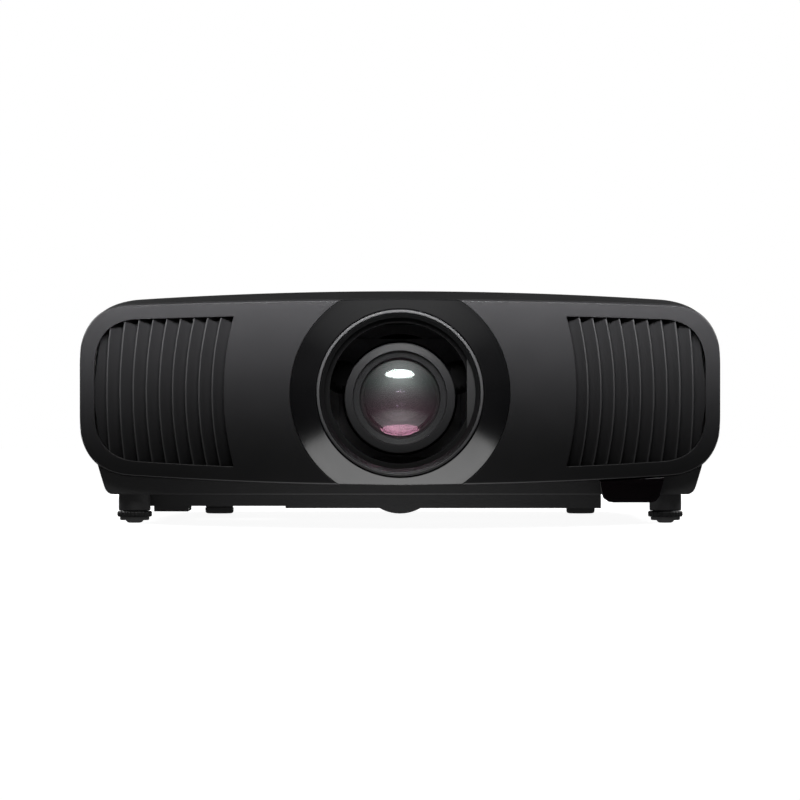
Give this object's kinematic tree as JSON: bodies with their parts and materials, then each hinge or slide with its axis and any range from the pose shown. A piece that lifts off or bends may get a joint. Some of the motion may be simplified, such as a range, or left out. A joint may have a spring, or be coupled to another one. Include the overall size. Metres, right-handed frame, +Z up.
{
  "type": "home projector",
  "caption": "Home cinema projector with a recessed round lens behind a sliding shutter, slatted side grilles, crowned cover and screw feet.",
  "frame": {"origin": "on the floor plane under the middle of the bounding box, with the front feet screwed fully in", "axes": "+X to the right seen from the front (the long side), +Y from the lens front towards the rear connectors, +Z up"},
  "size_m": [0.52, 0.447, 0.192],
  "materials": {
    "shell_plastic": "fine leather-like mould texture, satin black",
    "panel_plastic": "satin painted black front panel",
    "gloss_black": "polished black",
    "ring_metal": "anodised dark grey, satin turned",
    "dark_metal": "matt black coating",
    "steel": "plain steel",
    "alloy": "bare die-cast or extruded",
    "lens_black": "satin black anodised",
    "optical_glass": "coated glass",
    "gear_plastic": "natural acetal",
    "board": "solder-masked board",
    "phosphor": "phosphor on a metal disc",
    "filter_foam": "pleated filter paper",
    "key_plastic": "soft satin keys",
    "black_plastic": "moulded black plastic",
    "rubber": "black rubber"
  },
  "bodies": {
    "housing": {"top_cover": "shell_plastic", "lower_case": "shell_plastic", "front_panel": "panel_plastic", "grille_left": "panel_plastic", "grille_right": "panel_plastic", "lens_surround": "gloss_black", "lens_ring": "ring_metal", "ir_window": "gloss_black", "shutter_frame": "dark_metal", "small_motors": "steel", "lens_shroud": "dark_metal", "shift_base": "alloy", "optics_housing": "dark_metal", "light_optics": "optical_glass", "laser_module": "alloy", "heat_sink": "alloy", "fan_frames": "black_plastic", "power_board": "board", "main_board": "board", "rear_panel": "black_plastic", "signal_sockets": "steel", "power_inlet": "black_plastic", "control_bezel": "key_plastic", "key_board": "board", "base_plinth": "shell_plastic", "rear_feet": "rubber", "screws": "steel"},
    "shutter_front": {"shutter_leaf_front": "dark_metal"},
    "shutter_rear": {"shutter_leaf_rear": "dark_metal"},
    "shutter_drive": {"shutter_pinion": "gear_plastic"},
    "shift_x_slide": {"shift_x_carriage": "alloy"},
    "shift_x_drive": {"shift_screw_x": "steel"},
    "lens_body": {"shift_z_carriage": "alloy", "lens_barrel": "lens_black", "rear_elements": "optical_glass", "lens_motors": "steel"},
    "shift_z_drive": {"shift_screw_z": "steel"},
    "focus_gear": {"focus_ring": "gear_plastic"},
    "focus_drive": {"focus_pinion": "gear_plastic"},
    "front_cell": {"lens_front_cell": "lens_black", "front_element": "optical_glass"},
    "zoom_gear": {"zoom_ring": "gear_plastic"},
    "zoom_drive": {"zoom_pinion": "gear_plastic"},
    "intake_rotor": {"intake_fan_rotor": "black_plastic"},
    "exhaust_rotor": {"exhaust_fan_rotor": "black_plastic"},
    "wheel": {"phosphor_wheel": "phosphor"},
    "filter_drawer": {"filter_tray": "shell_plastic", "air_filter": "filter_foam"},
    "left_pad": {"foot_pad_left": "rubber"},
    "left_screw": {"foot_screw_left": "black_plastic"},
    "right_pad": {"foot_pad_right": "rubber"},
    "right_screw": {"foot_screw_right": "black_plastic"},
    "key_power_body": {"key_power": "key_plastic"},
    "key_menu_body": {"key_menu": "key_plastic"},
    "key_escape_body": {"key_escape": "key_plastic"},
    "key_enter_body": {"key_enter": "key_plastic"},
    "key_up_body": {"key_up": "key_plastic"},
    "key_down_body": {"key_down": "key_plastic"},
    "key_left_body": {"key_left": "key_plastic"},
    "key_right_body": {"key_right": "key_plastic"}
  },
  "joints": [
    {"name": "shutter_slide", "type": "slide", "parent": "housing", "child": "shutter_front", "axis": [-1, 0, 0], "range_m": [0, 0.12]},
    {"name": "shutter_rear_slide", "type": "slide", "parent": "housing", "child": "shutter_rear", "axis": [-1, 0, 0], "range_m": [0, 0.06]},
    {"name": "shutter_pinion_spin", "type": "hinge", "parent": "housing", "child": "shutter_drive", "pos_m": [0.005, -0.19, 0.0357], "axis": [0, -1, 0], "range_deg": [0, 1436]},
    {"name": "shift_x_turn", "type": "hinge", "parent": "housing", "child": "shift_x_drive", "pos_m": [0, -0.0612, 0.038], "axis": [1, 0, 0], "range_deg": [-2773, 2773]},
    {"name": "shift_x", "type": "slide", "parent": "housing", "child": "shift_x_slide", "axis": [1, 0, 0], "range_m": [-0.0077, 0.0077]},
    {"name": "shift_z_turn", "type": "hinge", "parent": "shift_x_slide", "child": "shift_z_drive", "pos_m": [0.059, -0.0715, 0.1], "axis": [0, 0, 1], "range_deg": [-1909, 4501]},
    {"name": "shift_z", "type": "slide", "parent": "shift_x_slide", "child": "lens_body", "axis": [0, 0, 1], "range_m": [-0.0053, 0.0125]},
    {"name": "focus_turn", "type": "hinge", "parent": "lens_body", "child": "focus_gear", "pos_m": [0, -0.137, 0.102], "axis": [0, -1, 0], "range_deg": [-40, 40]},
    {"name": "focus_pinion_spin", "type": "hinge", "parent": "lens_body", "child": "focus_drive", "pos_m": [0.04792, -0.137, 0.11944], "axis": [0, -1, 0], "range_deg": [-187, 187]},
    {"name": "focus_slide", "type": "slide", "parent": "lens_body", "child": "front_cell", "axis": [0, -1, 0], "range_m": [-0.0025, 0.0025]},
    {"name": "zoom_turn", "type": "hinge", "parent": "lens_body", "child": "zoom_gear", "pos_m": [0, -0.111, 0.102], "axis": [0, -1, 0], "range_deg": [0, 60]},
    {"name": "zoom_pinion_spin", "type": "hinge", "parent": "lens_body", "child": "zoom_drive", "pos_m": [-0.04792, -0.111, 0.11944], "axis": [0, -1, 0], "range_deg": [-281, 0]},
    {"name": "intake_fan_spin", "type": "hinge", "parent": "housing", "child": "intake_rotor", "pos_m": [-0.186, -0.18, 0.106], "axis": [0, 1, 0], "continuous": true},
    {"name": "exhaust_fan_spin", "type": "hinge", "parent": "housing", "child": "exhaust_rotor", "pos_m": [0.186, -0.18, 0.106], "axis": [0, 1, 0], "continuous": true},
    {"name": "phosphor_wheel_spin", "type": "hinge", "parent": "housing", "child": "wheel", "pos_m": [0.153, 0.08, 0.09], "axis": [1, 0, 0], "continuous": true},
    {"name": "filter_drawer_slide", "type": "slide", "parent": "housing", "child": "filter_drawer", "axis": [-1, 0, 0], "range_m": [0, 0.11]},
    {"name": "foot_turn_left", "type": "hinge", "parent": "left_pad", "child": "left_screw", "pos_m": [-0.2173, -0.176, 0.01], "axis": [0, 0, 1], "range_deg": [0, 2400]},
    {"name": "foot_slide_left", "type": "slide", "parent": "housing", "child": "left_pad", "axis": [0, 0, -1], "range_m": [0, 0.02]},
    {"name": "foot_turn_right", "type": "hinge", "parent": "right_pad", "child": "right_screw", "pos_m": [0.2173, -0.176, 0.01], "axis": [0, 0, 1], "range_deg": [0, 2400]},
    {"name": "foot_slide_right", "type": "slide", "parent": "housing", "child": "right_pad", "axis": [0, 0, -1], "range_m": [0, 0.02]},
    {"name": "key_power_press", "type": "slide", "parent": "housing", "child": "key_power_body", "axis": [0, -1, 0], "range_m": [0, 0.0006], "stiffness_N_per_m": 1200, "springref_m": -0.0005},
    {"name": "key_menu_press", "type": "slide", "parent": "housing", "child": "key_menu_body", "axis": [0, -1, 0], "range_m": [0, 0.0006], "stiffness_N_per_m": 1200, "springref_m": -0.0005},
    {"name": "key_escape_press", "type": "slide", "parent": "housing", "child": "key_escape_body", "axis": [0, -1, 0], "range_m": [0, 0.0006], "stiffness_N_per_m": 1200, "springref_m": -0.0005},
    {"name": "key_enter_press", "type": "slide", "parent": "housing", "child": "key_enter_body", "axis": [0, -1, 0], "range_m": [0, 0.0006], "stiffness_N_per_m": 1200, "springref_m": -0.0005},
    {"name": "key_up_press", "type": "slide", "parent": "housing", "child": "key_up_body", "axis": [0, -1, 0], "range_m": [0, 0.0006], "stiffness_N_per_m": 1200, "springref_m": -0.0005},
    {"name": "key_down_press", "type": "slide", "parent": "housing", "child": "key_down_body", "axis": [0, -1, 0], "range_m": [0, 0.0006], "stiffness_N_per_m": 1200, "springref_m": -0.0005},
    {"name": "key_left_press", "type": "slide", "parent": "housing", "child": "key_left_body", "axis": [0, -1, 0], "range_m": [0, 0.0006], "stiffness_N_per_m": 1200, "springref_m": -0.0005},
    {"name": "key_right_press", "type": "slide", "parent": "housing", "child": "key_right_body", "axis": [0, -1, 0], "range_m": [0, 0.0006], "stiffness_N_per_m": 1200, "springref_m": -0.0005}
  ],
  "couplings": [
    {"joint": "shutter_rear_slide", "follows": "shutter_slide", "ratio": 0.5},
    {"joint": "shutter_pinion_spin", "follows": "shutter_slide", "rad_per_m": 208.33},
    {"joint": "shift_x_turn", "follows": "shift_x", "rad_per_m": 6283.2},
    {"joint": "shift_z_turn", "follows": "shift_z", "rad_per_m": 6283.2},
    {"joint": "focus_turn", "follows": "focus_slide", "rad_per_m": 279.25},
    {"joint": "focus_pinion_spin", "follows": "focus_slide", "rad_per_m": -1303.2},
    {"joint": "zoom_pinion_spin", "follows": "zoom_turn", "ratio": -4.6667},
    {"joint": "foot_turn_left", "follows": "foot_slide_left", "rad_per_m": 2094.4},
    {"joint": "foot_turn_right", "follows": "foot_slide_right", "rad_per_m": 2094.4}
  ]
}
